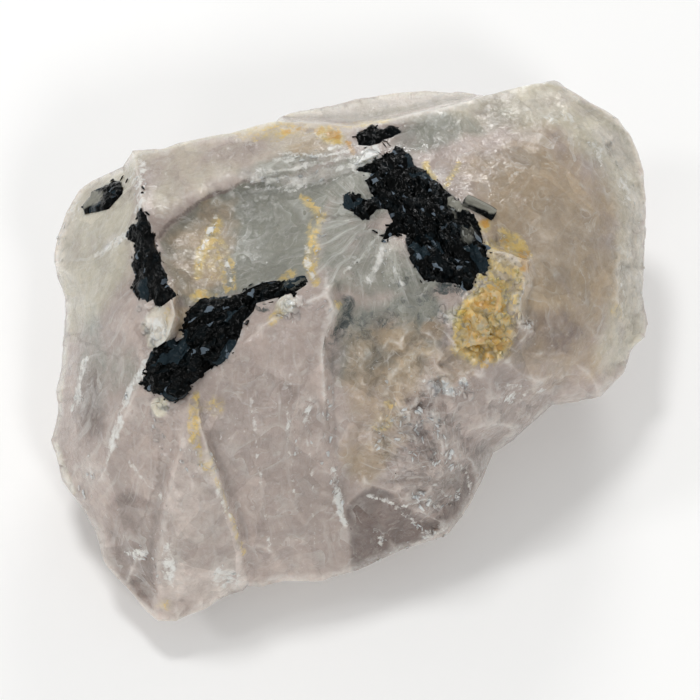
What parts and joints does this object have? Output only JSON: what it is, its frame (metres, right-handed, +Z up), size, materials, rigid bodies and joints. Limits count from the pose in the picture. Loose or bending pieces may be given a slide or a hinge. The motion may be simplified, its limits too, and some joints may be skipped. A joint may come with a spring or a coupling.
{
  "type": "mineral specimen",
  "caption": "Palm-size broken chunk of pale rose quartz with black tourmaline crystals set in its face, resting on a flat base.",
  "frame": {"origin": "middle of the box's bottom, on the table under the stone", "axes": "+Z up from the flat base, +X along the stone's longest extent, and the face leans toward -Y"},
  "size_m": [0.0756, 0.0678, 0.04],
  "materials": {
    "rose_quartz": "cloudy, broken surface",
    "black_tourmaline": "glossy, broken columns"
  },
  "bodies": {
    "root": {"quartz_block": "rose_quartz", "tourmaline_mass": "black_tourmaline", "tourmaline_front_crystal": "black_tourmaline", "tourmaline_left_blade": "black_tourmaline", "tourmaline_left_chip": "black_tourmaline", "tourmaline_top_grain": "black_tourmaline", "tourmaline_small_prism": "black_tourmaline"}
  },
  "joints": []
}
